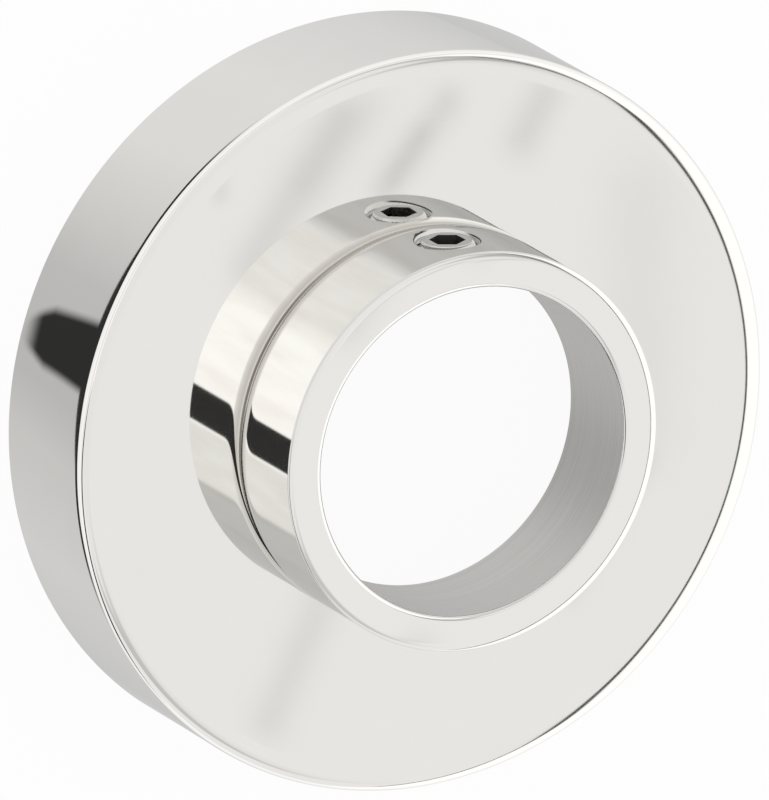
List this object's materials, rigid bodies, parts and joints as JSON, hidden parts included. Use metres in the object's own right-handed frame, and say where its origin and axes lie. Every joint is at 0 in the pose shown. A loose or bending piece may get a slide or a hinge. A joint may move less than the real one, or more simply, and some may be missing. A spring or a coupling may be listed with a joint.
{
  "type": "pipe rosette",
  "caption": "Hollow round wall cover for a pipe, with a flat polished face and a thick collar that a socket set screw clamps on the pipe.",
  "frame": {"origin": "centre of the open back rim's plane, on the pipe's axis", "axes": "+Z along the pipe's axis, out of the wall; +Y towards the set screw, which is up on the wall"},
  "size_m": [0.072, 0.072, 0.025],
  "materials": {
    "polished_cover": "mirror polished",
    "polished_collar": "mirror polished outside, fine turned bore",
    "stainless_screw": "bright drawn"
  },
  "bodies": {
    "rosette": {"cover": "polished_cover", "collar": "polished_collar"},
    "screw": {"set_screw": "stainless_screw"}
  },
  "joints": [
    {"name": "set_screw_travel", "type": "slide", "parent": "rosette", "child": "screw", "axis": [0, 1, 0], "range_m": [-0.00007, 0.0032]}
  ]
}
